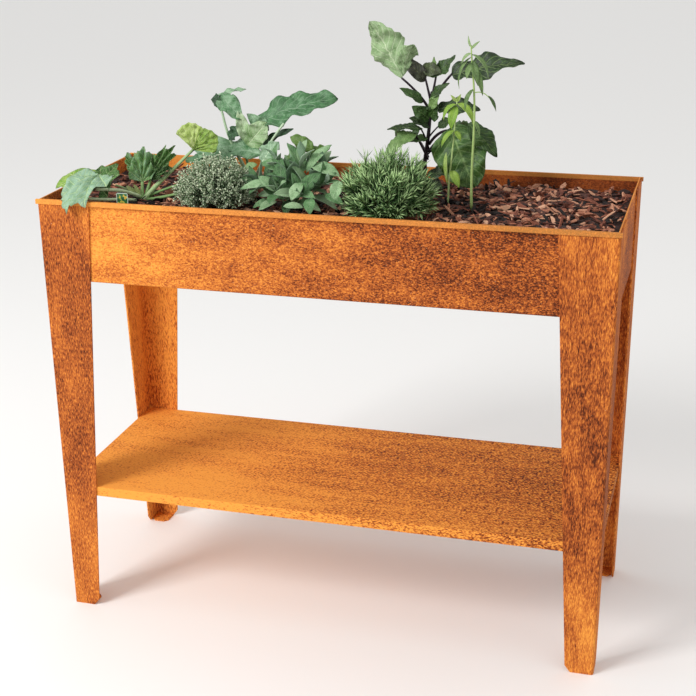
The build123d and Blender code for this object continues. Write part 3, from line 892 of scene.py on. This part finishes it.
def thyme():
    """A cushion of thyme: hundreds of fine wiry stems with tiny grey green leaves in pairs."""
    piece = new_shape()
    herb_dome(piece, crown_of("thyme"), random.Random(21), spread=72 * MM, height=88 * MM, sprigs=540,
              whorls=9, leaf_size=(6.4 * MM, 3.0 * MM), leaf_angle=1.15, first=0.4, tones=(-0.15, 0.9),
              twig_width=0.8 * MM, disorder=0.5)
    skins = [plain_skin("thyme_leaf", "#182414", "#729066", "#D8E2C2"),
             plain_skin("thyme_stem", "#3A3A2A", "#5E6348", "#7E8560")]
    return finish_piece("thyme_cushion", piece, skins, "thyme_bush")


def rosemary():
    """A dome of rosemary: upright sprigs set all round with narrow, leathery needles."""
    piece = new_shape()
    herb_dome(piece, crown_of("rosemary"), random.Random(33), spread=70 * MM, height=104 * MM,
              sprigs=190, whorls=16, leaf_size=(23.0 * MM, 2.5 * MM), leaf_angle=0.75, first=0.3,
              tones=(-0.35, 0.95), twig_width=1.6 * MM, disorder=0.9)
    skins = [plain_skin("rosemary_needle", "#0C1C08", "#426A33", "#B4D292", roughness=0.45),
             plain_skin("rosemary_stem", "#3E4A2A", "#5F7040", "#7F8F58")]
    return finish_piece("rosemary_dome", piece, skins, "rosemary_bush")


def sage():
    """Sage: soft shoots with opposite pairs of long grey green leaves, felted and finely veined."""
    rng = random.Random(5)
    crown = crown_of("sage")
    plant = new_shape()
    shoots = (
        ((0, 0), (10, 6, 84)), ((-6, 4), (-34, 6, 74)), ((6, 4), (42, 10, 70)),
        ((-8, -4), (-56, -22, 46)), ((8, -6), (58, -14, 50)), ((0, -8), (-18, -46, 40)),
        ((4, -8), (26, -50, 36)), ((-2, 8), (-16, 44, 66)), ((6, 8), (30, 46, 60)),
        ((2, -2), (-8, -20, 62)),
    )
    # Each pair of leaves up a shoot: its share of the shoot, its length and how far it opens.
    pairs = ((0.34, 54, 1.25), (0.6, 52, 1.05), (0.82, 44, 0.8), (1.0, 32, 0.45))
    lowest_tip = 6
    for (foot_x, foot_y), top in shoots:
        foot = Vector((foot_x, foot_y, 0))
        top = Vector(top)
        bulge = Vector((0, 0, 10))
        lay_stalk(plant, crown, (foot, (foot + top) / 2 + bulge, top), 2.0, 1.2, 0.6, STEM)
        along = (top - foot).normalized()
        across = along.cross(Vector((0.3, 1, 0.1))).normalized()
        around = along.cross(across)
        for level, (share, length, angle) in enumerate(pairs):
            place = foot.lerp(top, share) + bulge * (1 - abs(2 * share - 1))
            long_side = length * rng.uniform(0.8, 1.2)
            for leaf in range(2):
                turn = level * math.pi / 2 + leaf * math.pi + rng.uniform(-0.35, 0.35)
                outward = across * math.cos(turn) + around * math.sin(turn)
                opening = angle * rng.uniform(0.85, 1.15)
                direction = along * math.cos(opening) + outward * math.sin(opening)
                direction = (direction + Vector((0, 0, 0.15))).normalized()
                facing = along * math.sin(opening) - outward * math.cos(opening)
                facing += Vector((0, -0.15, 0.35))
                tip = place + direction * long_side
                tip.z = max(tip.z, lowest_tip)
                lay_leaf(plant, crown, place, tip, facing, long_side * rng.uniform(0.17, 0.23),
                         min(1, max(0, rng.gauss(0.52, 0.3))), blank=SMALL_BLANK, belly=0.48, blunt=0.95,
                         curl=rng.uniform(0.4, 1.0), fold=0.3, thickness=0.6)
    for base, tip, half_width, tone in (
        ((-16, -36, 50), (-83, -48, 40), 9, 0.8), ((-12, -8, 66), (-58, -8, 78), 12, 0.6),
        ((-5, -18, 50), (-35, -8, 81), 10, 0.45), ((-30, -30, 20), (-62, -44, 8), 7, 0.6),
        ((38, -70, 20), (4, -78, 22), 7, 0.95), ((30, -50, 58), (19, -78, 33), 11, 0.85),
        ((48, -66, 36), (57, -96, 16), 10, 0.45), ((92, -40, 62), (92, -68, 35), 11, 0.8),
        ((20, 4, 62), (64, 14, 111), 10, 0.75), ((14, 14, 67), (2, 24, 111), 8, 0.7),
        ((28, 2, 76), (84, -8, 62), 12, 0.8), ((-18, -44, 22), (-44, -66, 10), 8, 0.85),
        ((2, -40, 24), (8, -76, 6), 9, 0.15), ((62, -30, 34), (100, -44, 22), 9, 0.5),
    ):
        lay_leaf(plant, crown, base, tip, (0, -0.6, 0.8), half_width, tone, belly=0.5, blunt=0.85, curl=0.8,
                 fold=0.3, thickness=0.6)
    # Young, yellower leaves behind the top of the clump.
    for base, tip, half_width in (
        ((24, 40, 92), (-20, 44, 116), 13), ((16, 42, 82), (50, 50, 98), 12),
        ((10, 44, 70), (-34, 60, 76), 12),
    ):
        lay_leaf(plant, crown, base, tip, (0, -0.8, 0.6), half_width, 0.4, finish=BUDDING, belly=0.45,
                 curl=0.6, ruffle=0.4, teeth=0.1)
    skins = [
        *both_skins("sage_leaf", "feathered",
                    ("#1B3C18", "#55824D", "#9AB88C", "#B0C8A0", 0.45, 0.7),
                    ("#5E7F60", "#839F82", "#A9C0A5", "#BACFB4", 0.45, 0.8)),
        plain_skin("sage_stem", "#5E7A4C", "#8CA67A", "#B4C8A4"),
        *both_skins("young_sage_leaf", "feathered",
                    ("#30501A", "#5E8034", "#92AC68", "#B4C688", 0.5, 0.5),
                    ("#6A8A50", "#92AE74", "#B8CC9C", "#C8D8AC", 0.5, 0.5)),
    ]
    return finish_piece("sage_clump", plant, skins, "sage_bush")


thyme()
rosemary()
sage()


# ---------------------------------------------------------------- aubergine and pepper seedlings

def aubergine():
    """An aubergine: a dark purple stem and stalks, and big felted leaves with wavy margins, dark
    above and pale below, with pale midribs."""
    crown = crown_of("aubergine")
    plant = new_shape()
    for points, start, end in (
        (((0, 0, 0), (6, 0, 50), (13, 0, 104), (16, 0, 150), (18, -2, 178)), 4.6, 2.4),
        (((16, 0, 140), (4, -6, 170), (-32, -22, 203)), 3.0, 2.0),
        (((16, 0, 150), (30, -6, 184), (58, -22, 213)), 3.0, 2.0),
        (((16, 0, 160), (10, -2, 186), (4, -3, 210)), 2.6, 1.8),
        (((17, 0, 162), (22, 0, 188), (26, 0, 210)), 2.6, 1.8),
        (((12, 0, 56), (2, -10, 84), (-6, -28, 106)), 2.0, 1.6),
        (((13, 0, 76), (10, -10, 98), (4, -22, 114)), 2.0, 1.4),
        (((14, 0, 84), (36, -26, 116), (64, -50, 120)), 2.8, 2.2),
        (((8, 0, 26), (14, -12, 44), (12, -20, 56)), 1.2, 0.9),
        (((12, 0, 66), (30, -6, 84), (46, -14, 100)), 1.6, 1.2),
        (((13, 0, 96), (22, -6, 108), (32, -10, 118)), 1.6, 1.2),
        (((12, 2, 70), (26, 30, 92), (44, 52, 104)), 2.4, 1.6),
        (((12, 2, 60), (-6, 30, 80), (-24, 48, 90)), 2.4, 1.6),
    ):
        lay_stalk(plant, crown, points, start, end, 0.15, STEM)
    wavy = {"ruffle": 0.25, "waves": 2.0, "teeth": 0.06, "belly": 0.4, "blunt": 0.8, "crinkle": 0.2,
            "quilt": 0.06}
    for base, tip, facing, half_width, tone, changes in (
        # The big leaf at the top left, seen from below.
        ((-32, -22, 203), (-88, -32, 300), (0.1, 0.97, 0.2), 31, 0.6,
         {"curl": 0.5, "teeth": 0.12, "ruffle": 0.25, "belly": 0.5, "blunt": 0.85, "quilt": 0.1}),
        ((-30, -23, 206), (-10, -34, 262), (-0.5, 0.8, 0.2), 17, 0.5,
         {"curl": 0.9, "teeth": 0.1, "ruffle": 0.3, "belly": 0.6, "blunt": 0.6}),
        # The two curled leaves at the top of the stem.
        ((6, -3, 196), (-32, -10, 238), (0.1, -0.9, 0.4), 13, 0.2, {"curl": 0.8, "finish": BUDDING}),
        ((14, -2, 204), (58, 2, 242), (-0.3, -0.75, 0.6), 14, 0.3, {"curl": -0.9, "blunt": 1.0}),
        ((0, -4, 222), (36, -6, 212), (0, -0.85, 0.5), 13, 0.6, {"curl": -0.7, "finish": BUDDING}),
        ((22, 2, 216), (20, 4, 238), (-0.2, -0.9, 0.2), 4, 0.9, {"curl": 0.3}),
        # The long dark leaf at the top right.
        ((58, -22, 211), (186, -32, 236), (-0.08, -0.72, 0.7), 25, 0.08,
         {"curl": 0.35, "belly": 0.34, "teeth": 0.14, "ruffle": 0.35}),
        ((4, -12, 160), (-34, -32, 187), (-0.1, -0.75, 0.65), 9, 0.35, {}),
        ((18, -10, 166), (54, -22, 197), (0.0, -0.75, 0.65), 8.5, 0.25, {}),
        # The cluster halfway up the stem.
        ((14, 0, 128), (-14, -20, 154), (-0.1, -0.85, 0.5), 14, 0.35, {}),
        ((14, 0, 116), (-18, -24, 134), (0, -0.8, 0.6), 10, 0.1, {}),
        ((16, 0, 130), (34, -20, 158), (0.2, -0.85, 0.5), 13, 0.3, {}),
        ((30, -10, 148), (110, -22, 152), (0, -0.7, 0.7), 17, 0.08, {}),
        ((18, -14, 150), (36, -22, 176), (0, -0.9, 0.4), 9, 0.95, {}),
        ((32, -10, 118), (62, -20, 132), (0.1, -0.8, 0.6), 10, 0.2, {}),
        # Lower leaves at the left.
        ((6, -20, 114), (-52, -48, 116), (0, -0.45, 0.9), 10, 0.1, {"curl": 0.5}),
        ((-4, -28, 106), (-54, -58, 70), (-0.45, -0.75, 0.5), 16, 0.8, {"curl": 0.9}),
        ((12, -8, 96), (-16, -26, 92), (0, -0.7, 0.7), 8, 0.6, {}),
        ((12, -20, 56), (2, -36, 44), (0, -0.8, 0.5), 6.5, 0.85, {}),
        ((46, -14, 100), (64, -30, 104), (0, -0.8, 0.5), 9, 0.4, {}),
        # The broad leaf that hangs at the right, and the greener one behind it.
        ((62, -50, 124), (112, -72, 26), (0.12, -0.97, 0.2), 46, 0.55,
         {"curl": 0.6, "belly": 0.42, "blunt": 0.58, "teeth": 0.07, "fold": 0.12, "waves": 3.0}),
        # Low dark leaves round the foot of the stem.
        ((10, -10, 34), (-14, -26, 28), (0, -0.6, 0.8), 8, 0.75, {"curl": 0.6}),
        ((12, -6, 30), (56, -16, 34), (0, -0.6, 0.8), 13, 0.0, {"curl": 0.6}),
        ((6, 0, 22), (-36, -8, 22), (0, -0.5, 0.85), 15, 0.0, {"curl": 0.6}),
        ((8, -6, 14), (44, -22, 8), (0.1, -0.5, 0.85), 15, 0.0, {"curl": 0.5}),
        ((92, -46, 132), (146, -50, 76), (0.4, -0.8, 0.4), 19, 0.3, {"curl": 0.7, "teeth": 0.14}),
        # Leaves on the far side.
        ((44, 52, 104), (84, 78, 92), (0.2, 0.3, 0.9), 26, 0.3, {"curl": 0.9}),
        ((-24, 48, 90), (-62, 72, 76), (-0.2, 0.3, 0.9), 24, 0.35, {"curl": 0.9}),
    ):
        lay_leaf(plant, crown, base, tip, facing, half_width, tone, **{**wavy, **changes})
    skins = [
        *both_skins("aubergine_leaf", "feathered",
                    ("#16280D", "#365820", "#7C9C5A", "#9AB472", 0.45, 0.5),
                    ("#557644", "#8AA775", "#B6CAA2", "#CBD9B4", 0.85, 0.7)),
        plain_skin("aubergine_stem", "#150D16", "#3A2A34", "#6A6250", roughness=0.45),
        *both_skins("budding_leaf", "feathered",
                    ("#1F1618", "#38402A", "#6A7E4A", "#7E8260", 0.5, 0.5),
                    ("#332A30", "#565A40", "#8A9C64", "#A0A880", 0.5, 0.6)),
    ]
    return finish_piece("aubergine_plant", plant, skins, "aubergine")


def pepper_seedlings():
    """Two thin pepper seedlings that have just been planted, their narrow leaves hanging limp."""
    crown = crown_of("peppers")
    plant = new_shape()
    for points, start, end, tone in (
        (((0, 0, 0), (-2, 0, 50), (2, 0, 150), (0, 0, 206), (-4, 0, 240), (-7, 0, 277)), 2.6, 1.2, 0.6),
        (((-48, 32, 0), (-47, 32, 40), (-40, 32, 108), (-35, 32, 180)), 2.0, 1.1, 0.75),
        (((2, 0, 200), (16, -2, 204), (26, -2, 192)), 1.0, 0.7, 0.5),
    ):
        lay_stalk(plant, crown, points, start, end, tone, STALK)
    limp = {"blank": SMALL_BLANK, "belly": 0.4, "blunt": 1.0, "fold": 0.5}
    for base, tip, facing, half_width, tone, curl in (
        ((-6, 0, 258), (-25, -4, 206), (-0.8, -0.4, 0.4), 5.5, 0.35, 1.0),
        ((-6, 0, 262), (24, -4, 226), (0.6, -0.3, 0.7), 5.5, 0.5, 1.2),
        ((-4, 0, 252), (8, -10, 212), (0.3, -0.9, 0.3), 6.5, 0.2, 0.8),
        ((-4, 0, 244), (16, -8, 196), (0.5, -0.8, 0.3), 6, 0.35, 0.9),
        ((24, -2, 196), (38, 0, 170), (0.7, -0.5, 0.3), 3.5, 0.1, 0.5),
        ((-1, 0, 206), (-14, -4, 170), (-0.6, -0.7, 0.3), 5.5, 0.3, 0.8),
        ((2, 0, 152), (12, -4, 128), (0.6, -0.6, 0.3), 3.5, 0.5, 0.6),
        ((-7, 0, 273), (-12, 0, 292), (-0.5, -0.8, 0.2), 2.5, 0.8, 0.2),
        ((-7, 0, 270), (8, 0, 284), (0.1, -0.8, 0.6), 2.5, 0.8, 0.4),
        ((-6, 0, 264), (-22, -2, 246), (-0.4, -0.6, 0.7), 4, 0.7, 1.0),
        ((-5, 0, 248), (-12, -6, 222), (-0.3, -0.9, 0.3), 5, 0.6, 0.8),
    ):
        lay_leaf(plant, crown, base, tip, facing, half_width, tone, curl=curl, **limp)
    for base, tip, facing, half_width, tone, curl in (
        ((-35, 31, 174), (-56, 24, 146), (-0.6, -0.5, 0.7), 7, 0.3, 1.4),
        ((-35, 30, 172), (-42, 18, 132), (-0.1, -0.9, 0.4), 8.5, 0.2, 0.9),
        ((-34, 31, 176), (-4, 24, 140), (0.5, -0.5, 0.7), 8, 0.45, 1.4),
        ((-35, 32, 178), (-28, 30, 192), (0.3, -0.8, 0.5), 3, 0.8, 0.3),
        ((-35, 32, 178), (-46, 30, 190), (-0.3, -0.8, 0.5), 3, 0.8, 0.3),
        ((-38, 32, 130), (-60, 26, 100), (-0.5, -0.7, 0.5), 5.5, 0.35, 1.0),
        ((-38, 32, 128), (-26, 26, 112), (0.5, -0.7, 0.5), 5, 0.4, 0.8),
        ((-44, 30, 60), (-26, 20, 32), (0.4, -0.8, 0.5), 8, 0.5, 0.6),
        ((-52, 30, 92), (-46, 18, 36), (-0.4, -0.9, 0.1), 4, 0.7, 0.4),
    ):
        lay_leaf(plant, crown, base, tip, facing, half_width, tone, finish=YOUNG_AND_BACKLIT, curl=curl, **limp)
    skins = [
        *both_skins("pepper_leaf", "feathered",
                    ("#3A5626", "#6C8A4C", "#A4BC88", "#B8CA98", 0.4, 0.5),
                    ("#6A8A4A", "#90AC6E", "#B8CC9A", "#CCDCB0", 0.4, 0.6)),
        *both_skins("young_pepper_leaf", "feathered",
                    ("#6A9426", "#8DAE3C", "#B2C47C", "#C4D290", 0.4, 0.5),
                    ("#93B850", "#B2CC72", "#D0DFA0", "#E0ECB4", 0.4, 0.6)),
        plain_skin("pepper_stem", "#5E7E34", "#94AE62", "#BDD092"),
    ]
    return finish_piece("pepper_seedling_pair", plant, skins, "pepper_seedlings")


aubergine()
pepper_seedlings()


# ---------------------------------------------------------------- studio

FLOOR_HALF_SIDE = 12.0
FLOOR_PAINT = "#F1F0EE"
LAMP_PLACE, LAMP_AIM = (-2.2, -2.8, 2.9), (0, 0, 0.6)
LAMP_SIDE, LAMP_WATTS = 1.4, 124
AIR_STRENGTH = 0.82


def make_floor():
    """A plain pale floor."""
    base = bmesh.new()
    bmesh.ops.create_grid(base, x_segments=1, y_segments=1, size=FLOOR_HALF_SIDE)
    mesh = bpy.data.meshes.new("studio_floor")
    base.to_mesh(mesh)
    base.free()
    floor = bpy.data.objects.new("studio_floor", mesh)
    bpy.context.scene.collection.objects.link(floor)
    material, tree, shader, _ = start_finish("studio_floor_paint", roughness=0.9)
    shader.inputs["Base Color"].default_value = colour(FLOOR_PAINT)
    mesh.materials.append(material)


def make_light():
    """A soft lamp, high up at the front left."""
    lamp = bpy.data.lights.new("key_light", "AREA")
    lamp.size = LAMP_SIDE
    lamp.energy = LAMP_WATTS
    light = bpy.data.objects.new("key_light", lamp)
    light.location = LAMP_PLACE
    light.rotation_euler = (Vector(LAMP_AIM) - Vector(LAMP_PLACE)).to_track_quat("-Z", "Y").to_euler()
    bpy.context.scene.collection.objects.link(light)


def make_air():
    """Even white light from all round."""
    world = bpy.data.worlds.new("studio_air")
    world.use_nodes = True
    background = world.node_tree.nodes["Background"]
    background.inputs["Color"].default_value = (1.0, 1.0, 1.0, 1.0)
    background.inputs["Strength"].default_value = AIR_STRENGTH
    bpy.context.scene.world = world
    bpy.context.scene.view_settings.view_transform = "Standard"


make_floor()
make_light()
make_air()
